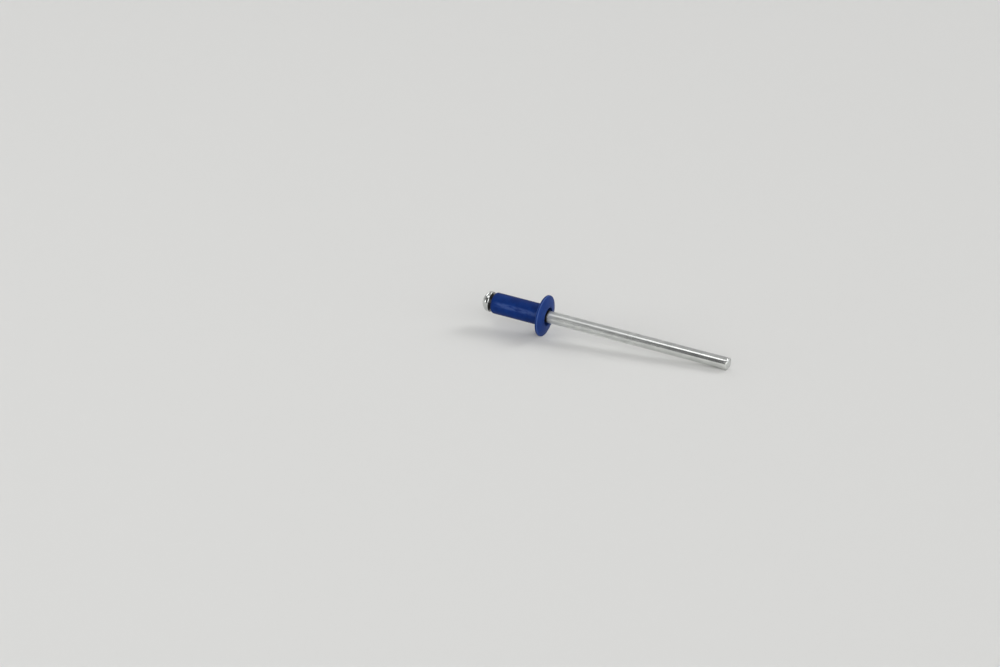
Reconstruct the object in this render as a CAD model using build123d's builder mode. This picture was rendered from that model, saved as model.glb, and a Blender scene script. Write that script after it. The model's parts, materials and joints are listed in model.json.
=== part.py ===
from build123d import *
import os
from math import asin, atan2, cos, hypot, isclose, sin, sqrt

os.makedirs("parts", exist_ok=True)

# A blind rivet: a hollow flanged body on a headed mandrel, lying as it comes to rest.
# Sizes are in millimetres. Places along the rivet's axis count from the flat underside of the
# flange, positive towards the tail of the mandrel, so the blind end is on the negative side.

# Driving sizes of the hollow body
shank_diameter = 3.2
shank_length = 8.1
blind_end_round = 0.4
flange_diameter = 6.2
flange_edge_thickness = 0.35
flange_edge_round = 0.12
flange_dome_rise = 0.45
underhead_fillet = 0.12
mouth_wall = 0.23
mouth_depth = 0.9
mouth_taper_length = 0.5

# Driving sizes of the mandrel
stem_diameter = 1.8
stem_projection = 28.6
stem_clearance = 0.07
head_diameter = 3.05
head_gap = 0.35
head_edge_height = 0.47
head_dome_rise = 0.93
head_edge_round = 0.3
head_foot_round = 0.07
seat_width = 0.12
seat_taper = 0.3
neck_width = 1.1
neck_notch_width = 0.8
neck_setback = 1.8
tail_point_length = 0.35
tail_tip_width = 1.05

# A rounding takes at most this share of the flat beside it
round_share = 0.8
# The break neck and the tail point are pinched from four sides, at these turns about the axis
pinch_turns = (0, 90, 180, 270)

# Radii about the rivet's axis
shank_radius = shank_diameter / 2
flange_radius = flange_diameter / 2
stem_radius = stem_diameter / 2
head_radius = head_diameter / 2
bore_radius = stem_radius + stem_clearance
seat_radius = bore_radius + seat_width
mouth_radius = shank_radius - mouth_wall
neck_half = neck_width / 2
tip_half = tail_tip_width / 2

# Places along the rivet's axis
blind_end = -shank_length
crown = flange_edge_thickness + flange_dome_rise
tail_tip = crown + stem_projection
tail_shoulder = tail_tip - tail_point_length
head_foot = blind_end - head_gap
head_edge = head_foot - head_edge_height
head_top = head_edge - head_dome_rise
neck_center = blind_end + neck_setback
mouth_floor = crown - mouth_depth

# The slim cone under the mandrel's head also makes the seat in the blind end of the bore
seat_bottom = blind_end + seat_width / seat_taper
cone_root = blind_end + (seat_radius - stem_radius) / seat_taper
cone_top_radius = seat_radius + head_gap * seat_taper


def dome(edge, edge_radius, top, top_radius):
    """Centre and radius of the ball through two circles about the axis."""
    center = (edge**2 + edge_radius**2 - top**2 - top_radius**2) / (2 * (edge - top))
    return center, hypot(edge - center, edge_radius)


flange_dome_center, flange_dome_radius = dome(flange_edge_thickness, flange_radius, crown, mouth_radius)
head_dome_center, head_dome_radius = dome(head_edge, head_radius, head_top, 0)

# At rest the rounded rim of the flange and the shoulder of the tail touch the ground
rim_inset_radius = flange_radius - flange_edge_round
rim_round_center = flange_dome_center + sqrt((flange_dome_radius - flange_edge_round) ** 2 - rim_inset_radius**2)
contact_run = tail_shoulder - rim_round_center
contact_drop = rim_inset_radius - stem_radius
lean = atan2(contact_drop, contact_run) + asin(flange_edge_round / hypot(contact_run, contact_drop))

# The rivet's axis falls towards the tail, and the origin is on the ground under the middle
along = Vector(cos(lean), 0, -sin(lean))
upward = Vector(sin(lean), 0, cos(lean))
tail_reach = tail_tip * cos(lean) + tip_half * sin(lean)
head_reach = head_dome_center * cos(lean) - head_dome_radius
seat_height = tail_shoulder * sin(lean) + stem_radius * cos(lean)
flange_seat = Vector(-(tail_reach + head_reach) / 2, 0, seat_height)
rivet_axis = Axis(flange_seat, along)


def axial_plane(turn):
    """A plane through the axis, with x towards the tail and y outwards at this turn."""
    outward = upward.rotate(Axis((0, 0, 0), along), turn)
    return Plane(origin=flange_seat, x_dir=along, z_dir=along.cross(outward))


def rings(piece, radius):
    """The round edges of a piece that have this radius, from the blind end to the tail."""
    circles = piece.edges().filter_by(GeomType.CIRCLE)
    return circles.filter_by(lambda edge: isclose(edge.radius, radius)).sort_by(rivet_axis)


# Hollow body: shank, domed flange, and a bore that widens at the mouth and seats the mandrel's head
with BuildPart() as rivet_body:
    with BuildSketch(axial_plane(0)):
        with BuildLine():
            RadiusArc((crown, mouth_radius), (flange_edge_thickness, flange_radius), -flange_dome_radius)
            Polyline(
                (flange_edge_thickness, flange_radius),
                (0, flange_radius),
                (0, shank_radius),
                (blind_end, shank_radius),
                (blind_end, seat_radius),
                (seat_bottom, bore_radius),
                (mouth_floor - mouth_taper_length, bore_radius),
                (mouth_floor, mouth_radius),
                (crown, mouth_radius),
            )
        make_face()
    revolve(axis=rivet_axis)
    fillet(rings(rivet_body, flange_radius), radius=flange_edge_round)
    fillet(rings(rivet_body, shank_radius)[-1], radius=underhead_fillet)
    end_wall = shank_radius - seat_radius
    fillet(rings(rivet_body, shank_radius)[0], radius=min(blind_end_round, round_share * end_wall))

# Mandrel: a domed head on a slim cone, a stem with a pinched break neck, and a pinched tail point
with BuildPart() as mandrel:
    with BuildSketch(axial_plane(0)):
        with BuildLine():
            RadiusArc((head_top, 0), (head_edge, head_radius), head_dome_radius)
            Polyline(
                (head_edge, head_radius),
                (head_foot, head_radius),
                (head_foot, cone_top_radius),
                (cone_root, stem_radius),
                (tail_tip, stem_radius),
                (tail_tip, 0),
                (head_top, 0),
            )
        make_face()
    revolve(axis=rivet_axis)
    underside = head_radius - cone_top_radius
    fillet(rings(mandrel, head_radius)[-1], radius=min(head_foot_round, round_share * underside))
    fillet(rings(mandrel, head_radius)[0], radius=head_edge_round)

    notch_depth = stem_radius - neck_half
    notch_top = neck_half + 2 * notch_depth
    point_drop = stem_radius - tip_half
    point_top = stem_radius + point_drop
    point_end = tail_tip + tail_point_length
    for turn in pinch_turns:
        with BuildSketch(axial_plane(turn)):
            with BuildLine():
                Polyline(
                    (neck_center, neck_half),
                    (neck_center + neck_notch_width, notch_top),
                    (neck_center - neck_notch_width, notch_top),
                    close=True,
                )
            make_face()
            with BuildLine():
                Polyline(
                    (tail_shoulder - tail_point_length, point_top),
                    (point_end, tip_half - point_drop),
                    (point_end, point_top),
                    close=True,
                )
            make_face()
        extrude(amount=stem_diameter, both=True, mode=Mode.SUBTRACT)

rivet_body.part.label = "rivet_body"
export_step(rivet_body.part, "parts/rivet_body.step")

mandrel.part.label = "mandrel"
export_step(mandrel.part, "parts/mandrel.step")
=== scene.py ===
# %% [markdown]
# # A blind rivet, lying at rest
#
# A blind rivet is two pieces of metal: a hollow painted body with a flange, and a steel pin with a
# head, the mandrel, that runs through it. The setting tool pulls the mandrel until its head swells
# the body behind the sheets and the pin snaps. The CAD frame already holds both pieces at their
# real size and place. This lesson gives them smooth turned meshes, their finishes, a soft light
# and a camera. Places and main sizes are read from the frame, so that nothing is fitted by eye.

# %% Load the fixed frame
import json
from math import atan2, cos, degrees, hypot, pi, radians, sin, tan

import bmesh
import bpy
from mathutils import Matrix, Vector


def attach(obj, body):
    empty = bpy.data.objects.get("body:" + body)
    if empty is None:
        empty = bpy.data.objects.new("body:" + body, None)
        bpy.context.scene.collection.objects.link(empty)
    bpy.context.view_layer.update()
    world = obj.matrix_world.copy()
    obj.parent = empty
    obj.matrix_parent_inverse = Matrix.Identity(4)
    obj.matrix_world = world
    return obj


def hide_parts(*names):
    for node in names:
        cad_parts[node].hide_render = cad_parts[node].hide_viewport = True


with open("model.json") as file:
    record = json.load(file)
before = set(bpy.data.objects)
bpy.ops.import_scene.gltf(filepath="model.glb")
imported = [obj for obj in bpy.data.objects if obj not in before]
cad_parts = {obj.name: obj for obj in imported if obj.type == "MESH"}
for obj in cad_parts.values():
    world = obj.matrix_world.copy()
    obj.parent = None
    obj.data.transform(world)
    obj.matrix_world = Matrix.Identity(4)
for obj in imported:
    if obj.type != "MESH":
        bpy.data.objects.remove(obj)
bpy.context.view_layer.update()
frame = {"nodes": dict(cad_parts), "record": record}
print("pieces in the frame:", sorted(frame["nodes"]))

# %% [markdown]
# ## Where the rivet lies
#
# The rivet rests on the rim of its flange and on its tail, so its axis is not level. The record's
# mounts say where the axis runs: the shank's mount lies on it, and the underside of the flange
# faces along it. One matrix built from them takes a drawing in millimetres, with x along the axis
# and counted from the flange's underside, to its place in the frame in metres.

# %% Find the rivet's axis
METRES_PER_MM = 0.001

mounts = {mount["name"]: mount for mount in frame["record"]["mounts"]}
along = -Vector(mounts["flange_underside"]["axis"]).normalized()
on_axis = Vector(mounts["shank"]["pos_m"])
underside = Vector(mounts["flange_underside"]["pos_m"])
flange_seat = on_axis + along * (underside - on_axis).dot(along)
lean = atan2(-along.z, along.x)
to_frame = (
    Matrix.Translation(flange_seat)
    @ Matrix.Rotation(lean, 4, "Y")
    @ Matrix.Scale(METRES_PER_MM, 4)
)
to_drawing = to_frame.inverted()
print("the axis falls", round(degrees(lean), 2), "degrees towards the tail")

# %% [markdown]
# ## Sizes from the frame
#
# A turned piece is described by places along its axis and distances from it. Measuring the frame's
# own vertices that way gives the main sizes, so the meshes below keep the form of the solids they
# stand for. Only small sizes that can't be read off a box, such as roundings, are written down.

# %% Measure the solids
def reach(node):
    """Lowest and highest place along the axis, then smallest and largest distance from it, in mm."""
    points = [to_drawing @ vert.co for vert in frame["nodes"][node].data.vertices]
    places = [point.x for point in points]
    distances = [hypot(point.y, point.z) for point in points]
    return min(places), max(places), min(distances), max(distances)


blind_end, crown, bore_radius, flange_radius = reach("rivet_body")
head_top, tail_tip, _, head_radius = reach("mandrel")
shank_radius = mounts["shank"]["dims"]["r_mm"]
stem_radius = mounts["pulling_stem"]["dims"]["r_mm"]
print("flange", round(2 * flange_radius, 3), "mm across, shank", round(2 * shank_radius, 3))
print("stem", round(2 * stem_radius, 3), "mm across, whole length", round(tail_tip - head_top, 2))

# %% [markdown]
# ## Turning a profile
#
# Both pieces are round about their axis: the body is cold headed from a slug of aluminium, and the
# mandrel from drawn wire. In Blender such a form is half a section, drawn as a chain of edges and
# spun once round the axis. Corners are rounded on the chain, before the spin, because a bevel on
# one vertex of a flat line is exact and makes clean rings. Domes are drawn by spinning a vertex
# about the dome's own centre. The spin closes on itself, and its poles and seam are then merged.

# %% Draw a profile
def chain(bm, points):
    """Vertices at (place along the axis, distance from it), joined by edges in that order."""
    verts = [bm.verts.new((place, distance, 0)) for place, distance in points]
    for start, end in zip(verts, verts[1:]):
        bm.edges.new((start, end))
    return verts


def dome_center(edge, edge_radius, top, top_radius):
    """The place on the axis from which two circles about the axis lie on one ball."""
    return (edge**2 + edge_radius**2 - top**2 - top_radius**2) / (2 * (edge - top))


def draw_dome(bm, start, edge, edge_radius, steps):
    """Spins the vertex start about the dome's centre until it reaches the dome's edge."""
    top, top_radius = start.co.x, start.co.y
    center = dome_center(edge, edge_radius, top, top_radius)
    sweep = atan2(edge_radius, edge - center) - atan2(top_radius, top - center)
    spun = bmesh.ops.spin(
        bm, geom=[start], cent=(center, 0, 0), axis=(0, 0, 1), angle=sweep, steps=steps
    )
    return spun["geom_last"][0]


def round_corner(bm, corner, radius, segments):
    """Rounds one corner of the chain: the cut is as far along each side as the radius asks."""
    sides = [edge.other_vert(corner).co - corner.co for edge in corner.link_edges]
    cut = radius / tan(sides[0].angle(sides[1]) / 2)
    bmesh.ops.bevel(
        bm, geom=[corner], offset=cut, offset_type="OFFSET", affect="VERTICES",
        segments=segments, profile=0.5, material=-1,
    )


print("profiles are drawn in millimetres, from the flange's underside")

# %% Turn a profile and put it in its place
TURN_STEPS = 160
MERGE_DISTANCE = 1e-5


def turn(bm):
    """Spins the chain once about the axis, and closes the seam and the poles."""
    whole = bm.verts[:] + bm.edges[:]
    bmesh.ops.spin(
        bm, geom=whole, cent=(0, 0, 0), axis=(1, 0, 0), angle=2 * pi, steps=TURN_STEPS,
        use_merge=True,
    )
    bmesh.ops.remove_doubles(bm, verts=bm.verts[:], dist=MERGE_DISTANCE)
    bmesh.ops.recalc_face_normals(bm, faces=bm.faces[:])


def finish_piece(bm, name, node, sharp_angle):
    """Puts the drawing in its place as an object that stands for a solid of the frame."""
    bmesh.ops.transform(bm, matrix=to_frame, verts=bm.verts[:])
    mesh = bpy.data.meshes.new(name)
    bm.to_mesh(mesh)
    bm.free()
    mesh.shade_smooth()
    mesh.set_sharp_from_angle(angle=sharp_angle)
    piece = bpy.data.objects.new(name, mesh)
    bpy.context.scene.collection.objects.link(piece)
    even = piece.modifiers.new("even_normals", "WEIGHTED_NORMAL")
    even.keep_sharp = True
    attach(piece, "root")
    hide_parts(node)
    print(name, "has", len(mesh.polygons), "faces")
    return piece


print("profiles are turned in", TURN_STEPS, "steps")

# %% [markdown]
# ## The hollow body
#
# The body is a tube with a low domed flange. Its bore is wider at the mouth, where the mandrel comes
# out, and at the blind end it has a shallow seat for the mandrel's head. The profile below goes
# once round the section of that wall: over the dome, round the rim, along the shank, and back
# through the bore. It is a closed loop that never meets the axis, so the spin leaves a true tube.

# %% Model the body
FLANGE_EDGE = 0.35
FLANGE_DOME_STEPS = 14
RIM_ROUND = 0.12
UNDERHEAD_FILLET = 0.12
FLANGE_SEGMENTS = 6
BLIND_END_ROUND = 0.4
BLIND_END_SEGMENTS = 10
SEAT_WIDTH = 0.12
SEAT_TAPER = 0.3
MOUTH_WALL = 0.23
MOUTH_DEPTH = 0.9
MOUTH_TAPER = 0.5
MOUTH_ROUND = 0.03
MOUTH_SEGMENTS = 4
BODY_SHARP_ANGLE = radians(35)

seat_radius = bore_radius + SEAT_WIDTH
mouth_radius = shank_radius - MOUTH_WALL
mouth_floor = crown - MOUTH_DEPTH


def model_body():
    """The wall of the body, spun from its section."""
    bm = bmesh.new()
    mouth = bm.verts.new((crown, mouth_radius, 0))
    dome_edge = draw_dome(bm, mouth, FLANGE_EDGE, flange_radius, FLANGE_DOME_STEPS)
    walls = chain(bm, [
        (0, flange_radius),
        (0, shank_radius),
        (blind_end, shank_radius),
        (blind_end, seat_radius),
        (blind_end + SEAT_WIDTH / SEAT_TAPER, bore_radius),
        (mouth_floor - MOUTH_TAPER, bore_radius),
        (mouth_floor, mouth_radius),
    ])
    bm.edges.new((dome_edge, walls[0]))
    bm.edges.new((walls[-1], mouth))
    rim_under, underhead, shank_end = walls[:3]
    round_corner(bm, dome_edge, RIM_ROUND, FLANGE_SEGMENTS)
    round_corner(bm, rim_under, RIM_ROUND, FLANGE_SEGMENTS)
    round_corner(bm, underhead, UNDERHEAD_FILLET, FLANGE_SEGMENTS)
    round_corner(bm, shank_end, BLIND_END_ROUND, BLIND_END_SEGMENTS)
    round_corner(bm, mouth, MOUTH_ROUND, MOUTH_SEGMENTS)
    turn(bm)
    return finish_piece(bm, "painted_body", "rivet_body", BODY_SHARP_ANGLE)


painted_body = model_body()

# %% [markdown]
# ## The mandrel
#
# The mandrel's head is a dome with a rounded edge. It stands a little way off the body, on a slim
# cone that sits in the blind end, so that a dark groove runs round under it. Two places of the stem
# are pinched from four sides by the wire machine: the break neck inside the body, where the stem is
# meant to snap, and the blunt tail. A pinch is a flat facet, so each one is a cut by a plane, and
# the hole that the cut leaves is filled. The stem is turned in two lengths that meet at the neck, so
# that the same cut works at all three ends. Rings along the long one keep its faces from being
# slivers.

# %% Helpers for the pinches
PINCH_TURNS = (0, pi / 2, pi, 3 * pi / 2)


def close_ends(bm):
    """Fills every open ring with one flat face."""
    open_edges = [edge for edge in bm.edges if edge.is_boundary]
    bmesh.ops.holes_fill(bm, edges=open_edges, sides=0)


def pinch(bm, start, end, end_half):
    """Cuts four facets, from the stem's surface at start down to end_half from the axis at end."""
    run = end - start
    drop = stem_radius - end_half
    for angle in PINCH_TURNS:
        outward = Vector((0, sin(angle), cos(angle)))
        on_plane = Vector((start, 0, 0)) + outward * stem_radius
        facing = Vector((drop if run > 0 else -drop, 0, 0)) + outward * abs(run)
        whole = bm.verts[:] + bm.edges[:] + bm.faces[:]
        bmesh.ops.bisect_plane(
            bm, geom=whole, dist=MERGE_DISTANCE, plane_co=on_plane, plane_no=facing,
            clear_outer=True,
        )
        close_ends(bm)


def open_end(bm, place):
    """Removes the flat face across the axis at this place."""
    flat = [f for f in bm.faces if all(abs(v.co.x - place) < MERGE_DISTANCE for v in f.verts)]
    bmesh.ops.delete(bm, geom=flat, context="FACES")


print("each pinch has", len(PINCH_TURNS), "facets")

# %% Model the head and the start of the stem
HEAD_GAP = 0.35
HEAD_EDGE_HEIGHT = 0.47
HEAD_EDGE_ROUND = 0.3
HEAD_FOOT_ROUND = 0.07
HEAD_DOME_STEPS = 12
HEAD_SEGMENTS = 5
NECK_WIDTH = 1.1
NECK_NOTCH = 0.8
NECK_SETBACK = 1.8

head_foot = blind_end - HEAD_GAP
head_edge = head_foot - HEAD_EDGE_HEIGHT
cone_top_radius = seat_radius + HEAD_GAP * SEAT_TAPER
cone_root = blind_end + (seat_radius - stem_radius) / SEAT_TAPER
neck_center = blind_end + NECK_SETBACK


def model_head_length():
    """The head and the stem as far as the break neck."""
    bm = bmesh.new()
    pole = bm.verts.new((head_top, 0, 0))
    dome_edge = draw_dome(bm, pole, head_edge, head_radius, HEAD_DOME_STEPS)
    rest = chain(bm, [
        (head_foot, head_radius),
        (head_foot, cone_top_radius),
        (cone_root, stem_radius),
        (neck_center, stem_radius),
    ])
    bm.edges.new((dome_edge, rest[0]))
    round_corner(bm, dome_edge, HEAD_EDGE_ROUND, HEAD_SEGMENTS)
    round_corner(bm, rest[0], HEAD_FOOT_ROUND, HEAD_SEGMENTS)
    turn(bm)
    close_ends(bm)
    pinch(bm, neck_center - NECK_NOTCH / 2, neck_center, NECK_WIDTH / 2)
    open_end(bm, neck_center)
    return bm


head_length = model_head_length()
print("the head and its length of stem have", len(head_length.faces), "faces")

# %% Model the rest of the stem and the tail
TAIL_POINT = 0.35
TAIL_TIP_WIDTH = 1.05
STEM_RINGS = 24

tail_shoulder = tail_tip - TAIL_POINT


def model_tail_length():
    """The stem from the break neck to the pinched tail."""
    bm = bmesh.new()
    chain(bm, [(neck_center, stem_radius), (tail_tip, stem_radius)])
    bmesh.ops.subdivide_edges(bm, edges=bm.edges[:], cuts=STEM_RINGS)
    turn(bm)
    close_ends(bm)
    pinch(bm, neck_center + NECK_NOTCH / 2, neck_center, NECK_WIDTH / 2)
    pinch(bm, tail_shoulder, tail_tip, TAIL_TIP_WIDTH / 2)
    open_end(bm, neck_center)
    return bm


tail_length = model_tail_length()
print("the tail and its length of stem have", len(tail_length.faces), "faces")

# %% Join the two lengths
TAIL_EDGE_ROUND = 0.035
TAIL_EDGE_SEGMENTS = 3
TAIL_EDGE_ANGLE = radians(15)
MANDREL_SHARP_ANGLE = radians(30)


def is_tail_edge(edge):
    """Whether an edge lies on the tail and turns enough to need breaking."""
    on_tail = min(vert.co.x for vert in edge.verts) > tail_shoulder - TAIL_POINT
    return on_tail and edge.calc_face_angle(0) > TAIL_EDGE_ANGLE


def join_mandrel(bm, front):
    """Both lengths, merged at the neck, with the sharp edges of the tail broken."""
    front_mesh = bpy.data.meshes.new("mandrel_front")
    front.to_mesh(front_mesh)
    front.free()
    bm.from_mesh(front_mesh)
    bpy.data.meshes.remove(front_mesh)
    bmesh.ops.remove_doubles(bm, verts=bm.verts[:], dist=MERGE_DISTANCE)
    bmesh.ops.recalc_face_normals(bm, faces=bm.faces[:])
    bmesh.ops.bevel(
        bm, geom=[edge for edge in bm.edges if is_tail_edge(edge)],
        offset=TAIL_EDGE_ROUND, offset_type="OFFSET", affect="EDGES",
        segments=TAIL_EDGE_SEGMENTS, profile=0.5, material=-1, clamp_overlap=True,
    )
    print("open edges on the mandrel:", sum(edge.is_boundary for edge in bm.edges))
    return finish_piece(bm, "steel_mandrel", "mandrel", MANDREL_SHARP_ANGLE)


steel_mandrel = join_mandrel(tail_length, head_length)

# %% [markdown]
# ## Writing shader maths as sums
#
# A finish is worked out from the place on the piece: along the axis, round it, and out from it.
# Drawing that as boxes and wires is slow to read, so one small class wraps a socket. A sum or a
# product of such values adds a Math node, and its node method adds any other kind of node.

# %% A wrapped socket
MIX_FACTOR, MIX_START, MIX_END = 0, 6, 7
MIX_COLOR = 2


class Signal:
    """An output socket of a shader tree, on which arithmetic adds Math nodes."""

    def __init__(self, socket):
        self.socket = socket

    def node(self, kind, settings=None, inputs=None, output=0):
        """Adds a node of this kind: its settings first, then the values or links of its sockets."""
        tree = self.socket.id_data
        made = tree.nodes.new("ShaderNode" + kind)
        for name, value in (settings or {}).items():
            setattr(made, name, value)
        for name, value in (inputs or {}).items():
            if isinstance(value, Signal):
                tree.links.new(value.socket, made.inputs[name])
            else:
                made.inputs[name].default_value = value
        return Signal(made.outputs[output])

    def math(self, operation, first, second):
        """A Math node of this operation on two values."""
        return self.node("Math", {"operation": operation}, {0: first, 1: second})

    def __add__(self, other):
        return self.math("ADD", self, other)

    def __radd__(self, other):
        return self.math("ADD", other, self)

    def __sub__(self, other):
        return self.math("SUBTRACT", self, other)

    def __rsub__(self, other):
        return self.math("SUBTRACT", other, self)

    def __mul__(self, other):
        return self.math("MULTIPLY", self, other)

    def __rmul__(self, other):
        return self.math("MULTIPLY", other, self)

    def __truediv__(self, other):
        return self.math("DIVIDE", self, other)

    def __rtruediv__(self, other):
        return self.math("DIVIDE", other, self)

    def __pow__(self, power):
        return self.math("POWER", self, power)

    def part(self, index):
        """One coordinate of a place: 0, 1 or 2 for x, y or z."""
        return self.node("SeparateXYZ", {}, {0: self}, output=index)

    def step(self, low, high):
        """0 below low, 1 above high and smooth between; the other way round if low is larger."""
        limits = {"Value": self, "From Min": min(low, high), "From Max": max(low, high)}
        rise = self.node("MapRange", {"interpolation_type": "SMOOTHSTEP"}, limits)
        return rise if low < high else 1 - rise

    def blend(self, start, end):
        """A colour between start and end, by this value."""
        colors = {MIX_FACTOR: self, MIX_START: start, MIX_END: end}
        return self.node("Mix", {"data_type": "RGBA"}, colors, output=MIX_COLOR)

    def noise(self, scale, detail, stretch=(1, 1, 1)):
        """Smooth noise at this many lumps a unit, after stretching the coordinates."""
        place = self.node("VectorMath", {"operation": "MULTIPLY"}, {0: self, 1: stretch})
        return self.node("TexNoise", {}, {"Vector": place, "Scale": scale, "Detail": detail})

    def bump(self, strength, depth):
        """A normal that leans with this height, whose full range is this depth in metres."""
        return self.node("Bump", {}, {"Height": self, "Strength": strength, "Distance": depth})


print("sums and products of wrapped sockets add Math nodes")

# %% Helpers for the finishes
def new_finish(name):
    """A material with its Principled shader, and a signal for the place on the rivet in mm."""
    material = bpy.data.materials.new(name)
    material.use_nodes = True
    tree = material.node_tree
    shader = tree.nodes["Principled BSDF"]
    own = Signal(tree.nodes.new("ShaderNodeTexCoord").outputs["Object"])
    place = own.node("Mapping", {"vector_type": "TEXTURE"}, {
        "Vector": own,
        "Location": flange_seat,
        "Rotation": (0, lean, 0),
        "Scale": (METRES_PER_MM,) * 3,
    })
    return material, shader, place


def connect(shader, signals):
    """Links signals to the shader's sockets by name."""
    for name, signal in signals.items():
        shader.id_data.links.new(signal.socket, shader.inputs[name])


def from_axis(place):
    """Distance from the rivet's axis."""
    y, z = place.part(1), place.part(2)
    return (y * y + z * z) ** 0.5


print("finishes read their place in millimetres from the flange's underside")

# %% [markdown]
# ## Blue paint
#
# Such bodies are painted in a drum to match coloured sheet. The coat is thin and satin, a little
# uneven, with a fine orange peel that breaks up its highlights. Rolling about with other rivets
# leaves a pale scuffed line along the shank and rubs the edges of the flange. The dome of the flange
# is lightened towards a paler blue, which is partly wear and partly a painted sheen. All of it is
# done with noise on the place in millimetres, so that the grain has its real size on every face. The
# coat stops at the mouth of the bore. Nearer the axis than the mouth, in the bore and on the blind
# end, the colour is painted near black as painted shade of the deep narrow hole.

# %% Wear of the paint, and a painted sheen on the dome
SCUFF_HEIGHT = radians(19)
SCUFF_SIDES = (0.955, 0.997)
SCUFF_START = (0.3, 1.5)
SCUFF_END = (0, -0.6)
SCUFF_STRETCH = (0.6, 2.2, 2.2)
SCUFF_GAPS = (0.3, 0.6)
SCUFF_STRENGTH = 0.7
EDGE_WIDTH = (0.06, 0.12)
EDGE_GAPS = (0.2, 0.5)
DOME_FOOT = 0.05
DOME_WEAR_AND_SHEEN = 0.06
DOME_CLOUDS_AND_SHEEN = 0.12


def scuffed_line(place):
    """A broken pale line along the side of the shank."""
    x, y, z = (place.part(index) for index in range(3))
    start, full = (blind_end + distance for distance in SCUFF_START)
    facing = (z * sin(SCUFF_HEIGHT) - y * cos(SCUFF_HEIGHT)) / from_axis(place)
    line = x.step(start, full) * x.step(*SCUFF_END) * facing.step(*SCUFF_SIDES)
    return line * place.noise(scale=1.3, detail=3.0, stretch=SCUFF_STRETCH).step(*SCUFF_GAPS)


def rubbed_edges(place):
    """Patches along the two edges of the flange's rim."""
    x = place.part(0)
    past_rim = from_axis(place) - flange_radius
    to_front = ((x - FLANGE_EDGE) ** 2 + past_rim**2) ** 0.5
    to_back = (x * x + past_rim**2) ** 0.5
    nearest = to_front.math("MINIMUM", to_front, to_back)
    return (1 - nearest.step(*EDGE_WIDTH)) * place.noise(scale=2.5, detail=3.0).step(*EDGE_GAPS)


def paint_wear_and_sheen(place, cloud):
    """How far the paint is worn from 0 to 1, where the dome's share is partly a painted sheen."""
    # The dome's lightening is partly wear and partly a painted sheen on the face of the flange.
    dulled_and_sheen = place.part(0).step(DOME_FOOT, FLANGE_EDGE) * (DOME_WEAR_AND_SHEEN + cloud * DOME_CLOUDS_AND_SHEEN)
    scuff = scuffed_line(place)
    return scuff.math("MAXIMUM", scuff * SCUFF_STRENGTH + dulled_and_sheen, rubbed_edges(place))


print("the scuffed line is", round(degrees(SCUFF_HEIGHT)), "degrees up the side of the shank")

# %% Finish of the body
DEEP_BLUE = (0.0014, 0.0165, 0.106, 1)
OPEN_BLUE = (0.0022, 0.0245, 0.145, 1)
RUBBED_AND_SHEEN_BLUE = (0.035, 0.068, 0.21, 1)
SHADED_BORE_BLACK = (0.002, 0.0025, 0.004, 1)
CLOUD_EDGE = (0.3, 0.7)
BORE_EDGE = (0.02, -0.03)
PAINT_GLOSS = 0.1
PAINT_ROUGHNESS = {"satin": 0.43, "clouds": 0.1, "wear": 0.12}
PAINT_HEIGHT = {"peel": 0.8, "grain": 0.2}
PEEL_STRENGTH = 0.35
PEEL_DEPTH = 0.00001


def blue_paint():
    """Satin blue paint with orange peel, which stops at the mouth of the bore; inside it, painted
    shade.
    """
    material, shader, place = new_finish("blue_paint")
    cloud = place.noise(scale=0.9, detail=3.0)
    peel = place.noise(scale=3.2, detail=1.5)
    grain = place.noise(scale=16.0, detail=2.0)
    worn_and_sheen = paint_wear_and_sheen(place, cloud)

    coat = cloud.step(*CLOUD_EDGE).blend(DEEP_BLUE, OPEN_BLUE)
    # Painted shade: nearer the axis than the mouth the colour turns near black, in the bore and at
    # the blind end.
    in_bore = from_axis(place).step(*(mouth_radius + shift for shift in BORE_EDGE))
    color = in_bore.blend(worn_and_sheen.blend(coat, RUBBED_AND_SHEEN_BLUE), SHADED_BORE_BLACK)
    roughness = (
        PAINT_ROUGHNESS["satin"]
        + cloud * PAINT_ROUGHNESS["clouds"]
        + worn_and_sheen * PAINT_ROUGHNESS["wear"]
    )
    height = peel * PAINT_HEIGHT["peel"] + grain * PAINT_HEIGHT["grain"]
    normal = height.bump(PEEL_STRENGTH, PEEL_DEPTH)
    shader.inputs["Specular IOR Level"].default_value = PAINT_GLOSS
    connect(shader, {"Base Color": color, "Roughness": roughness, "Normal": normal})
    return material


painted_body.data.materials.append(blue_paint())
print("painted the body")

# %% [markdown]
# ## Bright steel
#
# The mandrel is drawn steel wire with a thin zinc coat: bright, with fine lines along its length
# where the die dragged, and faint clouds in the plating. The head is upset from the same wire, so
# it is smoother, and the tail's facets were sheared and are duller. From the groove under the head
# to just outside the mouth of the bore the steel is painted near black, as painted shade of the
# groove and the bore. Near the flange the free stem is rubbed hazy, so its highlight is weak there
# and grows clearer towards the tail. Lines are noise that is stretched along the axis. They drive
# colour, roughness and a very shallow bump together.

# %% Finish of the mandrel
PALE_ZINC = (0.83, 0.842, 0.82, 1)
GREY_ZINC = (0.63, 0.645, 0.632, 1)
SHADED_STEEL_BLACK = (0.025, 0.025, 0.027, 1)
LINE_STRETCH = (0.02, 1, 1)
SCRATCH_STRETCH = (0.03, 1, 1)
STEM_EDGE = (-0.2, 0.3)
GROOVE_EDGE = (-0.03, 0.02)
SHADE_REACH = 0.3
SHEARED_EDGE = 0.25
HAZE_SHARE = 1.2
ZINC_EDGE = (0.25, 0.7)
STEEL_TONE = {"clouds": 0.5, "lines": 0.5, "tail": 0.3, "haze": 0.12}
STEEL_ROUGHNESS = {
    "zinc": 0.08, "clouds": 0.04, "lines": 0.07, "haze": 0.21, "tail": 0.15, "oil": 0.2,
}
STEEL_HEIGHT = {"lines": 0.6, "scratches": 0.4}
LINE_STRENGTH = 0.3
LINE_DEPTH = 0.000004


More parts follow.
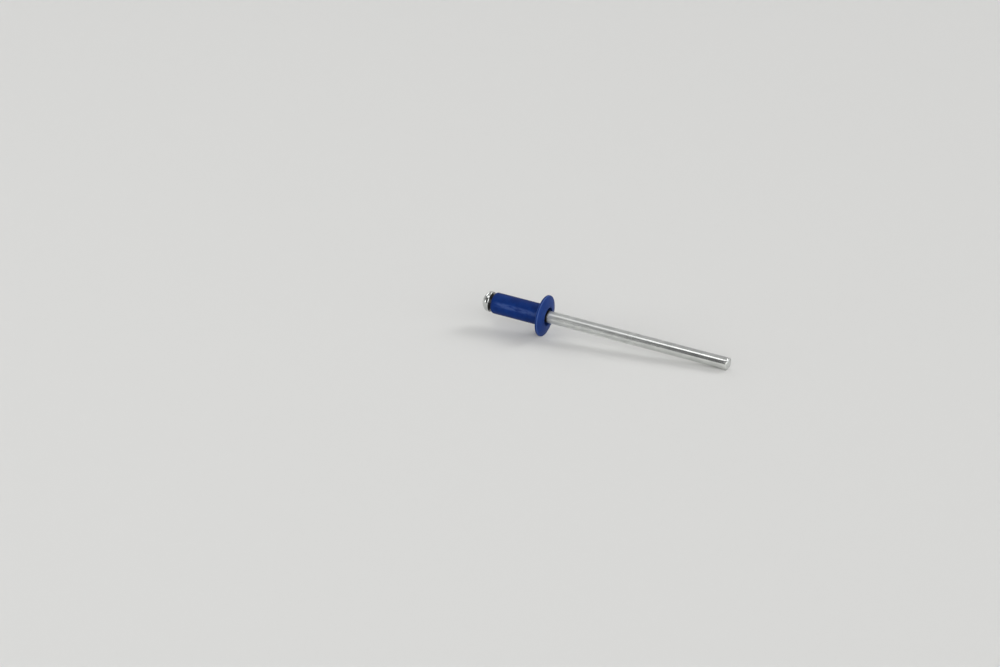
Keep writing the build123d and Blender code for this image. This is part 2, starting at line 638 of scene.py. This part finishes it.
def bright_steel():
    """Zinc-bright drawn steel, smoother at the head and duller on the sheared tail."""
    material, shader, place = new_finish("bright_steel")
    x = place.part(0)
    lines = place.noise(scale=9.0, detail=3.0, stretch=LINE_STRETCH)
    scratches = place.noise(scale=26.0, detail=2.0, stretch=SCRATCH_STRETCH)
    cloud = place.noise(scale=0.7, detail=4.0)
    upset = place.noise(scale=2.0, detail=1.0)

    on_stem = x.step(*(blind_end + shift for shift in STEM_EDGE))
    on_tail = x.step(tail_shoulder, tail_shoulder + SHEARED_EDGE)
    past_groove = x.step(*(head_foot + shift for shift in GROOVE_EDGE))
    # Painted shade: near black from the groove under the head to just outside the mouth of the bore.
    shaded_in_body = past_groove * x.step(crown + SHADE_REACH, crown)
    hazy = on_stem * x.step(HAZE_SHARE * tail_tip, crown)

    tone = (
        cloud * STEEL_TONE["clouds"]
        + lines * on_stem * STEEL_TONE["lines"]
        - on_tail * STEEL_TONE["tail"]
        - hazy * STEEL_TONE["haze"]
    )
    color = shaded_in_body.blend(tone.step(*ZINC_EDGE).blend(GREY_ZINC, PALE_ZINC), SHADED_STEEL_BLACK)
    roughness = (
        STEEL_ROUGHNESS["zinc"]
        + cloud * STEEL_ROUGHNESS["clouds"]
        + on_stem * lines * STEEL_ROUGHNESS["lines"]
        + hazy * STEEL_ROUGHNESS["haze"]
        + on_tail * STEEL_ROUGHNESS["tail"]
        + shaded_in_body * STEEL_ROUGHNESS["oil"]
    )
    drawn = lines * STEEL_HEIGHT["lines"] + scratches * STEEL_HEIGHT["scratches"]
    height = drawn * on_stem + upset * (1 - on_stem)
    normal = height.bump(LINE_STRENGTH, LINE_DEPTH)
    shader.inputs["Metallic"].default_value = 1.0
    connect(shader, {"Base Color": color, "Roughness": roughness, "Normal": normal})
    return material


steel_mandrel.data.materials.append(bright_steel())
print("finished the mandrel")

# %% [markdown]
# ## The floor
#
# The rivet lies on a pale sheet of paper. A sheet that curves up behind would do as well, but a flat
# one that is much wider than any view has no edge to hide, and takes the shadow on every side.

# %% Floor
FLOOR_COLOR = (0.665, 0.665, 0.652, 1)
FLOOR_HALF_WIDTH = 3.0
PAPER_ROUGHNESS = 0.9
PAPER_GLOSS = 0.1


def make_floor():
    """A wide pale sheet under the rivet."""
    bm = bmesh.new()
    bmesh.ops.create_grid(bm, x_segments=1, y_segments=1, size=FLOOR_HALF_WIDTH)
    mesh = bpy.data.meshes.new("floor")
    bm.to_mesh(mesh)
    bm.free()
    floor = bpy.data.objects.new("floor", mesh)
    bpy.context.scene.collection.objects.link(floor)
    paper = bpy.data.materials.new("pale_paper")
    paper.use_nodes = True
    shader = paper.node_tree.nodes["Principled BSDF"]
    shader.inputs["Base Color"].default_value = FLOOR_COLOR
    shader.inputs["Roughness"].default_value = PAPER_ROUGHNESS
    shader.inputs["Specular IOR Level"].default_value = PAPER_GLOSS
    mesh.materials.append(paper)


make_floor()
print("floor", 2 * FLOOR_HALF_WIDTH, "metres wide")

# %% [markdown]
# ## The camera
#
# A small part is photographed from some way off through a long lens, so that it keeps its
# proportions. The camera could be put in place by hand, but two angles, a distance and an aim on
# the floor say where it stands in a form that can be read, and its turn follows from them.

# %% Camera
VIEW_AZIMUTH = radians(26.27)
VIEW_ELEVATION = radians(22.5)
VIEW_DISTANCE = 0.3687
VIEW_AIM = Vector((-0.01575, -0.00232, 0))
LENS_MM = 90.0
NEAREST_SEEN = 0.01

toward_camera = Vector((sin(VIEW_AZIMUTH), -cos(VIEW_AZIMUTH), 0))
backward = toward_camera * cos(VIEW_ELEVATION) + Vector((0, 0, sin(VIEW_ELEVATION)))
camera = bpy.data.objects.new("camera", bpy.data.cameras.new("camera"))
camera.data.lens = LENS_MM
camera.data.clip_start = NEAREST_SEEN
camera.location = VIEW_AIM + backward * VIEW_DISTANCE
camera.rotation_euler = (-backward).to_track_quat("-Z", "Y").to_euler()
bpy.context.scene.collection.objects.link(camera)
bpy.context.scene.camera = camera
print("camera", round(VIEW_DISTANCE / METRES_PER_MM), "mm from its aim")

# %% [markdown]
# ## The light
#
# A small bright object shows what is around it as much as its own colour. The rivet is lit as in a
# light tent: one panel overhead, a pale backdrop behind and a dim room in front. Lamps outside the
# tent make soft bright patches on its cloth. They could be lamp objects, but a patch painted on the
# world by its direction has an edge as soft as cloth gives. The panel gives the bright line along
# the stem, and the dim front the dark line beside it. The patch at the back right casts the stem's
# shadow, the low ones on the left and right shine on the head and the face of the flange, and the
# one at the camera fills in. Together they are plain light, at which colours look as written.

# %% Overhead panel
PANEL_PLACE = (-0.10, -0.15, 0.45)
PANEL_LENGTH = 0.22
PANEL_WIDTH = 0.22
PANEL_RADIANCE = 1.45

lamp = bpy.data.lights.new("panel", "AREA")
lamp.shape = "RECTANGLE"
lamp.size = PANEL_LENGTH
lamp.size_y = PANEL_WIDTH
lamp.energy = PANEL_RADIANCE * pi * PANEL_LENGTH * PANEL_WIDTH
panel = bpy.data.objects.new("panel", lamp)
panel.location = PANEL_PLACE
bpy.context.scene.collection.objects.link(panel)
print("panel of", round(lamp.energy, 2), "watts")

# %% Surroundings
BACKDROP_LEVEL = 0.48
FRONT_LEVEL = 0.15
BACKDROP_EDGE = (-0.3, 0.2)
SOFT_EDGE = (0.84, 0.97)
CLEAR_EDGE = (0.95, 0.985)
LAMPS = {
    "the back, right": ((0.45, 0.63, 0.63), CLEAR_EDGE, 4.8),
    "the back, left": ((-0.72, 0.50, 0.48), CLEAR_EDGE, 2.4),
    "low on the left": ((-0.775, -0.61, 0.15), CLEAR_EDGE, 3.5),
    "low on the right": ((0.93, -0.33, 0.16), SOFT_EDGE, 2.8),
    "the camera": (backward, SOFT_EDGE, 3.2),
}


def surround():
    """The tent by direction: dim in front, paler behind, with a bright patch for each lamp."""
    world = bpy.data.worlds.new("surroundings")
    bpy.context.scene.world = world
    world.use_nodes = True
    tree = world.node_tree
    direction = Signal(tree.nodes.new("ShaderNodeTexCoord").outputs["Generated"])
    behind = direction.part(1).step(*BACKDROP_EDGE)
    tent = FRONT_LEVEL + behind * (BACKDROP_LEVEL - FRONT_LEVEL)
    for place, edge, level in LAMPS.values():
        pair = {0: direction, 1: Vector(place).normalized()}
        near = direction.node("VectorMath", {"operation": "DOT_PRODUCT"}, pair, output="Value")
        tent = tent + near.step(*edge) * level
    seen = direction.node("LightPath", output="Is Camera Ray")
    tree.links.new(seen.blend(tent, FLOOR_COLOR).socket, tree.nodes["Background"].inputs["Color"])


surround()
bpy.context.scene.view_settings.view_transform = "Standard"
print("the tent is lit from", ", ".join(LAMPS))
